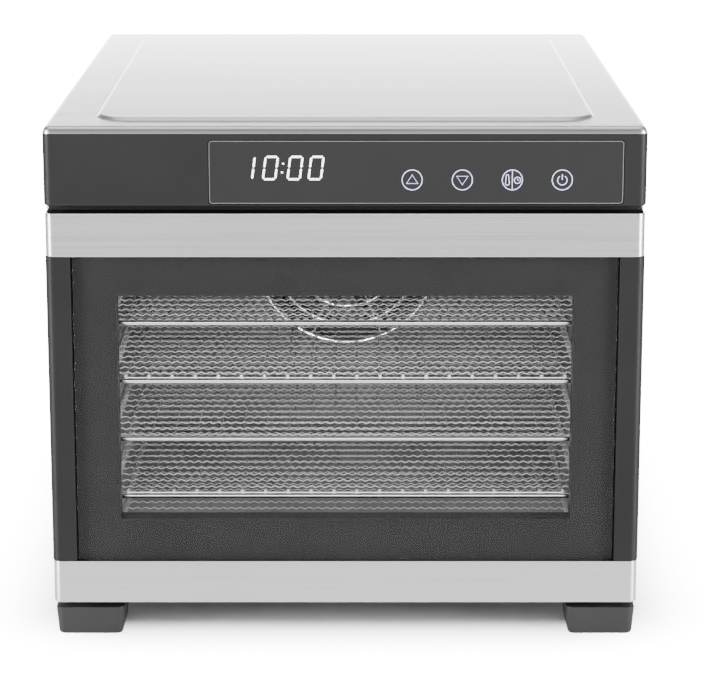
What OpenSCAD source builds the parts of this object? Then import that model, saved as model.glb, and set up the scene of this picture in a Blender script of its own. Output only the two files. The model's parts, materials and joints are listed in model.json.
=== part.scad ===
// Six-tray countertop food dehydrator with a drop-down glass door.
// Millimetres. X runs to the right, Y to the back and Z up. The origin is on the
// surface it stands on, under the middle of the body.

/* [Body] */
// Overall width
body_w = 345; // [335:1:355]
// Overall depth, from the door's face to the cord gland's tip
body_d = 450; // [440:1:460]
// Height of the flat top above the surface
body_h = 304.5; // [300:0.5:310]
// Depth that the cord gland stands out of the rear panel
gland_out = 10; // [8:1:12]
// Thickness of the folded sheet steel
sheet_t = 1; // [0.8:0.1:1.2]
// Radius of the vertical and top edges
edge_r = 5; // [4:0.5:6]
// Height of the pressed panel on the top
emboss_h = 1.2; // [0.8:0.1:1.5]

/* [Door] */
// Thickness of the door
door_t = 18; // [17:0.5:18]
// Height of each steel band on the door
band_h = 25.4; // [24:0.2:26]
// Height of the door's top edge
door_top = 254.5; // [252:0.5:255]
// Width of each side stile
stile_w = 15; // [13:0.5:16]
// Half width of the window
window_hw = 132.2; // [125:0.2:135]
// Height of the window's lower edge
window_z0 = 71.2; // [65:0.2:75]
// Height of the window's upper edge
window_z1 = 205.3; // [200:0.2:210]
// Height of the hinge axis
hinge_z = 28.5; // [28.4:0.1:28.6]
// Distance of the hinge axis behind the door's face
hinge_in = 8; // [7.6:0.1:8]
// Radius of the hinge pins
pin_r = 2.5; // [2:0.1:3]

/* [Trays] */
// Height of the lowest tray's middle plane
tray_z0 = 42.3; // [42:0.1:43]
// Vertical distance between trays
tray_pitch = 35.3; // [34.5:0.1:35.6]
// Half width of a tray
tray_hw = 143; // [141:0.5:143.5]
// Depth of a tray
tray_d = 305; // [295:1:308]
// Thickness of the frame's bar
rod = 4; // [3:0.2:4]
// Distance between the mesh wires
mesh_pitch = 13.66; // [12:0.1:15]
// Thickness of a mesh wire
wire = 1.6; // [1.2:0.1:2]

/* [Fan] */
// Height of the fan's axis
fan_z = 163; // [155:1:168]
// Radius of the fan
fan_r = 46; // [40:1:48]
// Number of blades
blades = 7; // [5:1:9]
// Radius of the ring heater
heater_r = 56; // [54:0.5:58]

/* [Hidden] */

arc_steps = 8;                        // straight steps in a quarter turn of an edge
half_w = body_w / 2;
front = -body_d / 2;
rear = body_d / 2 - gland_out;        // outer face of the rear panel
foot_h = 17.2;
base_z = 21;                          // underside of the base pan and of the door
door_back = front + door_t;
frame_y = door_back + 1;              // face that the door shuts against
frame_t = 6;
liner_y0 = frame_y + frame_t;
mouth_hw = 145.5;
mouth_z0 = 36.2;
mouth_z1 = 246;
liner_hw = 150;                       // inner face of the liner's side walls
baffle_y = 118;
plate_y = baffle_y + 42;
housing_z0 = 258.5;
cover_lip = 4;                        // height of the cover's front edge
housing_z1 = body_h - cover_lip;
hinge_y = front + hinge_in;
tray_y0 = liner_y0 + 4;
pane_hw = half_w - stile_w - 0.3;
band_z0 = base_z + band_h;            // top of the lower band
band_z1 = door_top - band_h;          // bottom of the upper band
carrier_hw = 152;
carrier_z0 = 26.5;
carrier_z1 = 251;
pane_back = front + 4.5;
arm_x = 161;                          // inner face of the hinge arms
arm_t = 2;
bore_gap = 0.05;                      // running clearance on a pin's radius
gland_x = 118;
gland_z = 52;
gland_bore_r = 3.6;
screw_r = 1.5;
magnet_x = 158.5;
magnet_z = 240;
board_x0 = -76;
board_x1 = 156;
display_x = -32;
display_z = 280;
touch_x = [38.3, 66.9, 95.4, 123.9];
touch_z = 273.6;
lens_x0 = -77.8;
lens_x1 = 159;
lens_z0 = 260;
lens_z1 = 296.7;
lens_t = 2;
motor_r = 28;
power_x = -70;
power_y = -150;
foot_w = 40.6;
foot_d = 42;

function arc(cx, cy, r, a0, a1) =
    [for (i = [0 : arc_steps]) let (a = a0 + (a1 - a0) * i / arc_steps)
        [cx + r * cos(a), cy + r * sin(a)]];

function round_rect(x0, x1, y0, y1, r) = concat(
    arc(x1 - r, y1 - r, r, 0, 90), arc(x0 + r, y1 - r, r, 90, 180),
    arc(x0 + r, y0 + r, r, 180, 270), arc(x1 - r, y0 + r, r, 270, 360));

// A strip of thickness t, folded round two corners of radius r: open at the side
// where v is end, closed at v = far. dir is 1 if far lies above end, or -1.
function channel(hw, end, far, r, t, dir) = concat(
    [[-hw, end]],
    arc(-hw + r, far - dir * r, r, 180, 180 - dir * 90),
    arc(hw - r, far - dir * r, r, dir * 90, 0),
    [[hw, end], [hw - t, end]],
    arc(hw - r, far - dir * r, r - t, 0, dir * 90),
    arc(-hw + r, far - dir * r, r - t, 180 - dir * 90, 180),
    [[-hw + t, end]]);

module span(x, y, z) translate([x[0], y[0], z[0]])
    cube([x[1] - x[0], y[1] - y[0], z[1] - z[0]]);
module along_y(y0, y1) translate([0, y1, 0]) rotate([90, 0, 0])
    linear_extrude(y1 - y0) children();
module along_x(x0, x1) translate([x0, 0, 0]) rotate([90, 0, 90])
    linear_extrude(x1 - x0) children();
module along_z(z0, z1) translate([0, 0, z0]) linear_extrude(z1 - z0) children();
module rod_y(x, z, r, y0, y1) translate([x, y0, z]) rotate([-90, 0, 0])
    cylinder(h = y1 - y0, r = r, $fn = 48);
module rod_x(y, z, r, x0, x1) translate([x0, y, z]) rotate([0, 90, 0])
    cylinder(h = x1 - x0, r = r, $fn = 48);
module rod_z(x, y, r, z0, z1) translate([x, y, z0]) cylinder(h = z1 - z0, r = r, $fn = 48);
module plate_with_window(x0, x1, z0, z1, wx0, wx1, wz0, wz1) difference() {
    translate([x0, z0]) square([x1 - x0, z1 - z0]);
    translate([wx0, wz0]) square([wx1 - wx0, wz1 - wz0]);
}
module mirrored_pair() {
    children();
    mirror([1, 0, 0]) children();
}

// ---- Chassis ----

foot_screw_y = 28;                    // from the foot's front to its screw
foot_front_y = front + 2.5;
foot_rear_y = rear - foot_d - 4;
foot_mid_x = half_w - 1 - foot_w / 2;
function foot_screw_at() = [for (sx = [-1, 1], y = [foot_front_y, foot_rear_y])
    [sx * foot_mid_x, y + foot_screw_y]];

module base_pan() color("silver") difference() {
    union() {
        span([-half_w + sheet_t, half_w - sheet_t], [frame_y, rear - sheet_t], [base_z, base_z + sheet_t]);
        mirrored_pair()
            span([half_w - 2 * sheet_t, half_w - sheet_t], [liner_y0, rear - sheet_t],
                [base_z + sheet_t, base_z + 10]);
    }
    for (p = foot_screw_at()) rod_z(p[0], p[1], 2.2, base_z - 1, base_z + 3);
}

module outer_cover() color("lightgray") difference() {
    union() {
        along_y(frame_y, rear) polygon(channel(half_w, base_z, body_h, edge_r, sheet_t, 1));
        along_y(front, frame_y) polygon(channel(half_w, housing_z1, body_h, edge_r - 1.2, sheet_t, 1));
        span([-half_w + edge_r, half_w - edge_r], [front, front + sheet_t], [housing_z1, body_h - sheet_t]);
        along_z(body_h, body_h + emboss_h)
            polygon(round_rect(-144.6, 144.6, front + 26, rear - 16, 22));
    }
    along_z(body_h - 2 * sheet_t, body_h + emboss_h - sheet_t)
        polygon(round_rect(-143.6, 143.6, front + 27, rear - 17, 21));
}

rear_screw_at = [for (x = [-150, 0, 150], z = [34, 292]) [x, z]];

module rear_panel() color("silver") difference() {
    span([-half_w + sheet_t, half_w - sheet_t], [rear - sheet_t, rear],
        [base_z, body_h - sheet_t]);
    for (p = rear_screw_at) rod_y(p[0], p[1], screw_r + 0.2, rear - 2, rear + 1);
    rod_y(gland_x, gland_z, 8.2, rear - 2, rear + 1);
    span([-56, 56], [rear - 2, rear + 1], [fan_z - 50, fan_z + 50]);
}

// Pressed louvre plate over the air intake, with rows of slots.
module rear_grille() color("dimgray") difference() {
    span([-62, 62], [rear, rear + 2], [fan_z - 56, fan_z + 56]);
    for (i = [0 : 10], s = [-1, 1])
        span([s * 26 - 22, s * 26 + 22], [rear - 1, rear + 3],
            [fan_z - 47 + i * 9, fan_z - 43 + i * 9]);
}

module rear_screws() color("gray") for (p = rear_screw_at) {
    rod_y(p[0], p[1], screw_r, rear - 9, rear);
    rod_y(p[0], p[1], 3, rear, rear + 1.8);
}

module front_frame() color("#3a3a3a") difference() {
    along_y(frame_y, liner_y0) plate_with_window(
        -half_w + 1.2, half_w - 1.2, base_z + sheet_t, housing_z0 - 0.3,
        -mouth_hw, mouth_hw, mouth_z0, mouth_z1);
    mirrored_pair()
        span([arm_x - 0.2, arm_x + arm_t + 0.2], [frame_y - 1, liner_y0 + 1],
            [hinge_z - 6.3, hinge_z + 6.3]);
    mirrored_pair() rod_y(magnet_x, magnet_z, 3.8, frame_y - 1, frame_y + 4);
}

module liner_left() color("silver")
    span([-liner_hw - sheet_t, -liner_hw], [liner_y0, baffle_y], [mouth_z0 - sheet_t, mouth_z1 + sheet_t]);
module liner_right() mirror([1, 0, 0]) liner_left();
module liner_roof() color("silver")
    span([-liner_hw, liner_hw], [liner_y0, baffle_y], [mouth_z1, mouth_z1 + sheet_t]);
module liner_floor() color("silver")
    span([-liner_hw, liner_hw], [liner_y0, baffle_y], [mouth_z0 - sheet_t, mouth_z0]);

function tray_z(k) = tray_z0 + (6 - k) * tray_pitch;

module runners() color("silver") for (k = [1 : 6])
    span([138.4, liner_hw], [liner_y0 + 2, baffle_y - 2],
        [tray_z(k) - rod / 2 - 1.8, tray_z(k) - rod / 2 - 0.3]);
module tray_runners_right() runners();
module tray_runners_left() mirror([1, 0, 0]) runners();

module fan_baffle() color("silver") difference() {
    span([-liner_hw - sheet_t, liner_hw + sheet_t], [baffle_y, baffle_y + sheet_t],
        [mouth_z0 - sheet_t, mouth_z1 + sheet_t]);
    rod_y(0, fan_z, 62, baffle_y - 1, baffle_y + 2);
    rod_y(100, 233, 2.2, baffle_y - 1, baffle_y + 2);
    for (s = [-1, 1], i = [0 : 4])
        span([s * 116 - 20, s * 116 + 20], [baffle_y - 1, baffle_y + 2], [60 + i * 12, 65 + i * 12]);
}

guard_ring_r = 1.3;
guard_y = baffle_y - 2;

module fan_guard() color("gainsboro") {
    for (r = [12 : 13 : 64]) translate([0, guard_y, fan_z]) rotate([90, 0, 0])
        rotate_extrude($fn = 96) translate([r, 0]) circle(r = guard_ring_r, $fn = 24);
    for (a = [45, 135, 225, 315]) translate([0, baffle_y - 0.9, fan_z]) rotate([0, a, 0])
        translate([0, 0, 8]) cylinder(h = 60, r = 0.9, $fn = 24);
}

module motor_plate() color("silver") difference() {
    span([-liner_hw - sheet_t, liner_hw + sheet_t], [plate_y, plate_y + sheet_t],
        [mouth_z0 - sheet_t, mouth_z1 + sheet_t]);
    rod_y(0, fan_z, 6, plate_y - 1, plate_y + 2);
    for (s = [-1, 1]) rod_y(s * 12, fan_z - heater_r, 4, plate_y - 1, plate_y + 2);
    for (s = [-1, 1]) rod_y(s * 20, fan_z, 1.8, plate_y - 1, plate_y + 2);
    for (s = [-1, 1], i = [0 : 5])
        span([s * 90 - 18, s * 90 + 18], [plate_y - 1, plate_y + 2], [fan_z - 40 + i * 14, fan_z - 34 + i * 14]);
}

module fan_motor() color("dimgray") difference() {
    union() {
        rod_y(0, fan_z, motor_r, plate_y + sheet_t, plate_y + 30);
        rod_y(0, fan_z, 12, plate_y + 30, plate_y + 36);
        span([-34, 34], [plate_y + 8, plate_y + 22], [fan_z - 42, fan_z - 20]);
    }
    rod_y(0, fan_z, 3.06, plate_y, plate_y + 32);
    for (s = [-1, 1]) rod_y(s * 20, fan_z, screw_r + 0.02, plate_y, plate_y + 8);
}

module motor_screws() color("gray") for (s = [-1, 1]) {
    rod_y(s * 20, fan_z, screw_r, plate_y, plate_y + 7);
    rod_y(s * 20, fan_z, 3, plate_y - 1.8, plate_y);
}

// ---- Fan ----

module fan_shaft() color("lightgray") rod_y(0, fan_z, 3, baffle_y + 7, plate_y + 31);

module fan_blade() color("silver") difference() {
    union() {
        rod_y(0, fan_z, 13, baffle_y + 12, baffle_y + 26);
        for (i = [0 : blades - 1]) translate([0, baffle_y + 19, fan_z]) rotate([0, i * 360 / blades, 0])
            translate([0, 0, 10]) rotate([0, 0, 32]) translate([-13, -0.6, 0]) cube([26, 1.2, fan_r - 10]);
    }
    rod_y(0, fan_z, 3, baffle_y + 11, baffle_y + 27);
}

module fan_nut() color("gray") difference() {
    translate([0, baffle_y + 8, fan_z]) rotate([-90, 0, 0]) cylinder(h = 4, r = 6, $fn = 6);
    rod_y(0, fan_z, 3, baffle_y + 7, baffle_y + 13);
}

// ---- Heater ----

module heating_element() color("gray") {
    translate([0, baffle_y + 19, fan_z]) rotate([90, 0, 0])
        rotate_extrude($fn = 96) translate([heater_r, 0]) circle(r = 3, $fn = 24);
    for (s = [-1, 1]) rod_y(s * 12, fan_z - heater_r, 2.6, baffle_y + 20, plate_y + 12);
}

module heater_clips() color("silver") for (a = [90, 210, 330]) translate([0, 0, fan_z]) rotate([0, a, 0]) {
    span([-4, 4], [plate_y - 26, plate_y], [heater_r + 3, heater_r + 4.2]);
    span([-4, 4], [plate_y - 1, plate_y], [heater_r + 4.2, heater_r + 12]);
}

module thermal_cutout() color("black") {
    rod_y(-70, fan_z + 50, 8, plate_y - 6, plate_y);
    span([-81, -59], [plate_y - 7.2, plate_y - 6], [fan_z + 46, fan_z + 54]);
}

module temperature_probe() color("gainsboro") {
    rod_y(100, 233, 2, baffle_y - 12, baffle_y + 16);
    rod_y(100, 233, 4, baffle_y + sheet_t, baffle_y + 8);
}

// ---- Controls ----

module control_housing() color("#404040") difference() {
    along_z(housing_z0, housing_z1) polygon(concat(
        [[-half_w, frame_y - 0.2]], arc(-half_w + edge_r, front + edge_r, edge_r, 180, 270),
        arc(half_w - edge_r, front + edge_r, edge_r, 270, 360), [[half_w, frame_y - 0.2]]));
    span([-half_w + 3, half_w - 3], [front + 3, frame_y + 1], [housing_z0 + 2.5, housing_z1 - 1.5]);
    along_y(front - 1, front + lens_t)
        polygon(round_rect(lens_x0 - 0.3, lens_x1 + 0.3, lens_z0 - 0.3, lens_z1 + 0.3, 2.3));
    span([lens_x0 + 2, lens_x1 - 2], [front + 1, front + 4], [lens_z0 + 2, lens_z1 - 2]);
}

module control_panel_glass() color("#4a4a4a")
    along_y(front, front + lens_t - 0.1) polygon(round_rect(lens_x0, lens_x1, lens_z0, lens_z1, 2));

module led_display() color("whitesmoke")
    span([display_x - 25, display_x + 25], [front + lens_t, front + 7], [display_z - 9.5, display_z + 9.5]);

module display_board() color("darkgreen")
    span([board_x0, board_x1], [front + 7, front + 8.6], [lens_z0 + 2.5, lens_z1 - 2]);

module touch_springs() color("goldenrod") for (x = touch_x)
    difference() {
        rod_y(x, touch_z, 5.5, front + lens_t, front + 7);
        rod_y(x, touch_z, 4.5, front + 1, front + 8);
    }

module board_standoffs() color("white") for (x = [power_x + 5, power_x + 125], y = [power_y + 5, power_y + 85])
    rod_z(x, y, 3, mouth_z1 + sheet_t, mouth_z1 + 10);

module power_board() color("darkgreen")
    span([power_x, power_x + 130], [power_y, power_y + 90], [mouth_z1 + 10, mouth_z1 + 11.6]);

module power_board_parts() color("#222222") {
    top = mouth_z1 + 11.6;
    span([power_x + 12, power_x + 44], [power_y + 12, power_y + 40], [top, top + 26]);
    span([power_x + 54, power_x + 74], [power_y + 14, power_y + 30], [top, top + 16]);
    span([power_x + 82, power_x + 102], [power_y + 14, power_y + 30], [top, top + 16]);
    rod_z(power_x + 62, power_y + 58, 8, top, top + 25);
    span([power_x + 14, power_x + 46], [power_y + 66, power_y + 78], [top, top + 12]);
    span([power_x + 86, power_x + 89], [power_y + 45, power_y + 78], [top, top + 28]);
}

// ---- Feet, gland, hinge and catch on the chassis ----

module foot(side, y) color("#3c3c3c") {
    x0 = side > 0 ? half_w - 1 - foot_w : -half_w + 1;
    neck_y = max(y + 5, frame_y + 1);
    mid = side * foot_mid_x;
    difference() {
        union() {
            along_z(0, foot_h) polygon(round_rect(x0, x0 + foot_w, y, y + foot_d, 4));
            span([x0 + 4, x0 + foot_w - 4], [neck_y, y + foot_d - 4], [foot_h, base_z]);
        }
        rod_z(mid, y + foot_screw_y, screw_r + 0.3, 6, base_z + 1);
        rod_z(mid, y + foot_screw_y, 5, -1, 10);
    }
}
module foot_front_left() foot(-1, foot_front_y);
module foot_front_right() foot(1, foot_front_y);
module foot_rear_left() foot(-1, foot_rear_y);
module foot_rear_right() foot(1, foot_rear_y);

module foot_screws() color("gray") for (p = foot_screw_at()) {
    rod_z(p[0], p[1], screw_r, 10, base_z + 9);
    rod_z(p[0], p[1], 3.5, 7.4, 10);
}

module cord_gland() color("#2a2a2a") difference() {
    union() {
        rod_y(gland_x, gland_z, 8, rear - 8, rear);
        rod_y(gland_x, gland_z, 11, rear, rear + 4);
        rod_y(gland_x, gland_z, 7, rear + 4, rear + gland_out);
    }
    rod_y(gland_x, gland_z, gland_bore_r, rear - 9, rear + gland_out + 1);
}
module cord_gland_nut() color("#2a2a2a") difference() {
    translate([gland_x, rear - 6, gland_z]) rotate([-90, 0, 0]) cylinder(h = 5, r = 12, $fn = 6);
    rod_y(gland_x, gland_z, 8, rear - 9, rear + 1);
}

module hinge_brackets() color("gray") mirrored_pair() difference() {
    union() {
        rod_x(hinge_y, hinge_z, 6, arm_x, arm_x + arm_t);
        span([arm_x, arm_x + arm_t], [hinge_y, liner_y0 + 12], [hinge_z - 6, hinge_z + 6]);
        span([arm_x - 8, arm_x], [liner_y0, liner_y0 + arm_t], [hinge_z - 6, hinge_z + 6]);
    }
    rod_x(hinge_y, hinge_z, pin_r, arm_x - 1, arm_x + arm_t + 1);
}

module hinge_pins() color("lightgray") mirrored_pair() {
    rod_x(hinge_y, hinge_z, pin_r, 153, arm_x + arm_t);
    rod_x(hinge_y, hinge_z, 3.8, arm_x + arm_t, arm_x + arm_t + 1.5);
}

module catch_magnets() color("#555555") mirrored_pair() rod_y(magnet_x, magnet_z, 3.6, frame_y, frame_y + 3.8);

// ---- Door ----

// Clears the lower rear corner, so that the door turns without meeting the chassis.
module corner_cut() along_x(-half_w - 1, half_w + 1)
    polygon([[hinge_y + 10.2, hinge_z - 3.4], [hinge_y + 5, hinge_z - 9.2],
        [hinge_y + 14, hinge_z - 9.2], [hinge_y + 14, hinge_z - 3.4]]);

module band(z0, z1) along_z(z0, z1)
    polygon(channel(half_w - 0.4, door_back, front, edge_r, 1.2, -1));

module door_top_band() color("gainsboro") band(band_z1, door_top);
module door_bottom_band() color("gainsboro") difference() {
    band(base_z, band_z0);
    corner_cut();
}

module stile() color("#3a3a3a") along_z(band_z0, band_z1) polygon(concat(
    [[half_w - stile_w, front + 0.2]], arc(half_w - edge_r, front + edge_r, edge_r, 270, 360),
    [[half_w, door_back], [half_w - stile_w, door_back]]));
module door_right_stile() stile();
module door_left_stile() mirror([1, 0, 0]) stile();

module door_glass() color("#9aa5a8") along_y(front + 0.5, pane_back)
    polygon(round_rect(-pane_hw, pane_hw, band_z0 + 0.2, band_z1 - 0.2, 2));

module door_glass_border() color("#303030") along_y(pane_back, pane_back + 0.3)
    plate_with_window(-pane_hw, pane_hw, band_z0 + 0.2, band_z1 - 0.2,
        -window_hw, window_hw, window_z0, window_z1);

module door_carrier() color("#262626") {
    web = pane_back + 3.3;
    back = door_back - 1.2;
    along_y(pane_back + 0.3, web) plate_with_window(-carrier_hw, carrier_hw, carrier_z0, carrier_z1,
        -window_hw, window_hw, window_z0, window_z1);
    along_y(web, back) plate_with_window(-carrier_hw, carrier_hw, carrier_z0, carrier_z1,
        -carrier_hw + 2.5, carrier_hw - 2.5, carrier_z0 + 2.5, carrier_z1 - 2.5);
    along_y(web, back) plate_with_window(-window_hw - 2.5, window_hw + 2.5, window_z0 - 2.5, window_z1 + 2.5,
        -window_hw, window_hw, window_z0, window_z1);
}

module door_back_panel() color("#333333") along_y(door_back - 1.2, door_back)
    plate_with_window(-carrier_hw, carrier_hw, carrier_z0, carrier_z1,
        -window_hw, window_hw, window_z0, window_z1);

module door_seal() color("#1c1c1c") along_y(door_back, door_back + 0.7)
    plate_with_window(-151.5, 151.5, 31.2, 250.5, -147.5, 147.5, 35.2, 246.5);

module door_top_cap() color("#2c2c2c")
    span([-half_w + 2, half_w - 2], [front + 6, door_back], [carrier_z1 + 0.2, door_top - 1]);

module door_hinge_bushes() color("#d8d8d0") mirrored_pair() difference() {
    span([carrier_hw, arm_x - 0.4], [hinge_y - 5.6, hinge_y + 7], [hinge_z - 7, hinge_z + 7]);
    rod_x(hinge_y, hinge_z, pin_r + bore_gap, carrier_hw + 0.5, arm_x);
}

module door_catch_plates() color("silver") mirrored_pair()
    span([carrier_hw, 168], [door_back - 2.5, door_back - 0.3], [magnet_z - 8, magnet_z + 8]);

// ---- Trays ----

mesh_x = [for (i = [0 : 19]) (i - 9.5) * mesh_pitch];
mesh_y = [for (i = [0 : 20]) tray_y0 + tray_d / 2 + (i - 10) * mesh_pitch];
mesh_hw = tray_hw - rod;
mesh_y0 = tray_y0 + rod;
mesh_y1 = tray_y0 + tray_d - rod;
edge_strip = 1;

// Lower and upper limit of each opening along one axis.
function gaps(at, lo, hi) = concat(
    [[lo, at[0] - wire / 2]],
    [for (i = [1 : len(at) - 1]) [at[i - 1] + wire / 2, at[i] - wire / 2]],
    [[at[len(at) - 1] + wire / 2, hi]]);

module mesh_sheet() difference() {
    translate([-mesh_hw, mesh_y0]) square([2 * mesh_hw, mesh_y1 - mesh_y0]);
    for (a = gaps(mesh_x, -mesh_hw + edge_strip, mesh_hw - edge_strip),
         b = gaps(mesh_y, mesh_y0 + edge_strip, mesh_y1 - edge_strip))
        translate([a[0], b[0]]) square([a[1] - a[0], b[1] - b[0]]);
}

module tray(k) color("gainsboro") {
    z = tray_z(k);
    along_z(z - rod / 2, z + rod / 2) difference() {
        polygon(round_rect(-tray_hw, tray_hw, tray_y0, tray_y0 + tray_d, 6));
        translate([-mesh_hw, mesh_y0]) square([2 * mesh_hw, mesh_y1 - mesh_y0]);
    }
    along_z(z - wire / 2, z + wire / 2) mesh_sheet();
}

base_pan();
outer_cover();
rear_panel();
rear_grille();
front_frame();
liner_left();
liner_right();
liner_roof();
liner_floor();
tray_runners_left();
tray_runners_right();
fan_baffle();
fan_guard();
motor_plate();
fan_motor();
motor_screws();
fan_shaft();
fan_blade();
fan_nut();
heating_element();
heater_clips();
thermal_cutout();
temperature_probe();
control_housing();
control_panel_glass();
led_display();
display_board();
touch_springs();
power_board();
power_board_parts();
board_standoffs();
foot_front_left();
foot_front_right();
foot_rear_left();
foot_rear_right();
foot_screws();
rear_screws();
cord_gland();
cord_gland_nut();
hinge_brackets();
hinge_pins();
catch_magnets();
door_glass();
door_glass_border();
door_carrier();
door_back_panel();
door_seal();
door_top_band();
door_bottom_band();
door_left_stile();
door_right_stile();
door_top_cap();
door_hinge_bushes();
door_catch_plates();
tray(1);  // tray_1
tray(2);  // tray_2
tray(3);  // tray_3
tray(4);  // tray_4
tray(5);  // tray_5
tray(6);  // tray_6
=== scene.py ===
"""Food dehydrator: the visual model and its studio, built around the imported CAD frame."""
import json
import math

import bpy
import bmesh
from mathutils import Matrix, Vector


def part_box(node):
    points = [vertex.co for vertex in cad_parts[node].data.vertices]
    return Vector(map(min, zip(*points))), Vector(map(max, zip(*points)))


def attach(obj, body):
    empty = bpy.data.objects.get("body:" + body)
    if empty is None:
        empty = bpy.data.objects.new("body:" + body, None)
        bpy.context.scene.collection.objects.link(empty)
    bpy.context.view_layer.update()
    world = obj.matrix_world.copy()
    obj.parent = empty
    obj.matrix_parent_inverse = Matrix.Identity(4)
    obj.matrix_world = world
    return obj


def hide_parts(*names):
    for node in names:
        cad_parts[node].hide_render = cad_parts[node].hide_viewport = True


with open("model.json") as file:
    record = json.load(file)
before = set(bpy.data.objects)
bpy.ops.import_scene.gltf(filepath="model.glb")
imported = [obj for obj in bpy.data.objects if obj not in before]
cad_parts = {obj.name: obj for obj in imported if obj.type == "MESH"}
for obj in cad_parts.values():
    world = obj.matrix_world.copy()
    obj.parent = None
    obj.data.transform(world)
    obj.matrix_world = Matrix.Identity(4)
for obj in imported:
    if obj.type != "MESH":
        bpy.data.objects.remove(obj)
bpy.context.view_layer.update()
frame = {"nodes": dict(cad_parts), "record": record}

MM = 0.001                      # shapes are drawn in millimetres and built in metres
WELD = 1e-6                     # corners closer than this many metres become one


def mm_box(node):
    """A CAD node's lowest and highest corners at rest, in millimetres."""
    lo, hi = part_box(node)
    return [v / MM for v in lo], [v / MM for v in hi]


# ---------------------------------------------------------------- materials

def tint(c, k):
    return tuple(min(1.0, v * k) for v in c)


class Graph:
    """Short names for the node calls that every material makes."""

    def __init__(self, name):
        self.material = bpy.data.materials.new(name)
        self.material.use_nodes = True
        self.tree = self.material.node_tree
        self.tree.nodes.clear()
        self.coords = self.add("ShaderNodeTexCoord")

    def add(self, kind, **settings):
        node = self.tree.nodes.new(kind)
        for key, value in settings.items():
            setattr(node, key, value)
        return node

    def link(self, a, b):
        self.tree.links.new(a, b)

    def noise(self, scale, detail=2.0, rough=0.5, stretch=(1, 1, 1)):
        mapping = self.add("ShaderNodeMapping")
        mapping.inputs["Scale"].default_value = stretch
        self.link(self.coords.outputs["Object"], mapping.inputs["Vector"])
        node = self.add("ShaderNodeTexNoise")
        node.inputs["Scale"].default_value = scale
        node.inputs["Detail"].default_value = detail
        node.inputs["Roughness"].default_value = rough
        self.link(mapping.outputs["Vector"], node.inputs["Vector"])
        return node.outputs["Fac"]

    def spread(self, value, low, high):
        """Stretches a noise's usual range to run from low to high."""
        node = self.add("ShaderNodeMapRange")
        node.inputs["From Min"].default_value = 0.25
        node.inputs["From Max"].default_value = 0.75
        node.inputs["To Min"].default_value = low
        node.inputs["To Max"].default_value = high
        self.link(value, node.inputs["Value"])
        return node.outputs["Result"]

    def blend_colour(self, factor, a, b):
        node = self.add("ShaderNodeMix", data_type="RGBA")
        node.inputs[6].default_value = (*a, 1)
        node.inputs[7].default_value = (*b, 1)
        self.link(factor, node.inputs[0])
        return node.outputs[2]

    def mottled(self, value, colour, darker, lighter):
        """The colour times a strength that follows a noise."""
        return self.blend_colour(self.spread(value, 0, 1), tint(colour, darker), tint(colour, lighter))

    def maths(self, kind, a, b):
        node = self.add("ShaderNodeMath", operation=kind)
        for socket, value in zip(node.inputs, (a, b)):
            if isinstance(value, (int, float)):
                socket.default_value = value
            else:
                self.link(value, socket)
        return node.outputs[0]

    def bump(self, height, distance, strength):
        node = self.add("ShaderNodeBump")
        node.inputs["Strength"].default_value = strength
        node.inputs["Distance"].default_value = distance
        self.link(height, node.inputs["Height"])
        return node.outputs["Normal"]

    def finish(self, shader):
        out = self.add("ShaderNodeOutputMaterial")
        self.link(shader, out.inputs["Surface"])
        return self.material


def brushed(name, colour, stretch, rough=(0.26, 0.4), contrast=0.12, depth=0.00002):
    """Sheet steel with a long grain: stretch is low along the grain and high across it."""
    g = Graph(name)
    fine = g.noise(1.0, 3.0, 0.6, stretch)
    broad = g.noise(1.0, 2.0, 0.5, tuple(s * 0.18 for s in stretch))
    cloud = g.noise(9.0, 2.0)
    streak = g.maths("ADD", g.maths("MULTIPLY", fine, 0.6), g.maths("MULTIPLY", broad, 0.4))
    shade = g.maths("ADD", g.maths("MULTIPLY", streak, 0.85), g.maths("MULTIPLY", cloud, 0.15))
    p = g.add("ShaderNodeBsdfPrincipled")
    g.link(g.mottled(shade, colour, 1 - contrast, 1 + contrast * 0.6), p.inputs["Base Color"])
    p.inputs["Metallic"].default_value = 1.0
    g.link(g.spread(streak, rough[1], rough[0]), p.inputs["Roughness"])
    g.link(g.bump(streak, depth, 0.5), p.inputs["Normal"])
    return g.finish(p.outputs[0])


def metal(name, colour, rough=(0.2, 0.35), contrast=0.12, grain=900.0, depth=0.00001, metallic=1.0):
    """Metal with a fine grain and a faint unevenness of tone; a low metallic value makes it duller."""
    g = Graph(name)
    fine, cloud = g.noise(grain, 3.0), g.noise(40.0, 2.0)
    p = g.add("ShaderNodeBsdfPrincipled")
    g.link(g.mottled(cloud, colour, 1 - contrast, 1 + contrast), p.inputs["Base Color"])
    p.inputs["Metallic"].default_value = metallic
    g.link(g.spread(fine, rough[0], rough[1]), p.inputs["Roughness"])
    g.link(g.bump(fine, depth, 0.4), p.inputs["Normal"])
    return g.finish(p.outputs[0])


def plastic(name, colour, rough=(0.4, 0.52), grain=1400.0, depth=0.00003, contrast=0.1, specular=0.5):
    """Moulded plastic or enamel with a fine grain and a faint unevenness of tone."""
    g = Graph(name)
    fine, cloud = g.noise(grain, 3.0, 0.6), g.noise(28.0, 3.0)
    p = g.add("ShaderNodeBsdfPrincipled")
    g.link(g.mottled(cloud, colour, 1 - contrast, 1 + contrast), p.inputs["Base Color"])
    g.link(g.spread(fine, rough[0], rough[1]), p.inputs["Roughness"])
    p.inputs["Specular IOR Level"].default_value = specular
    g.link(g.bump(fine, depth, 0.5), p.inputs["Normal"])
    return g.finish(p.outputs[0])


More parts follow.
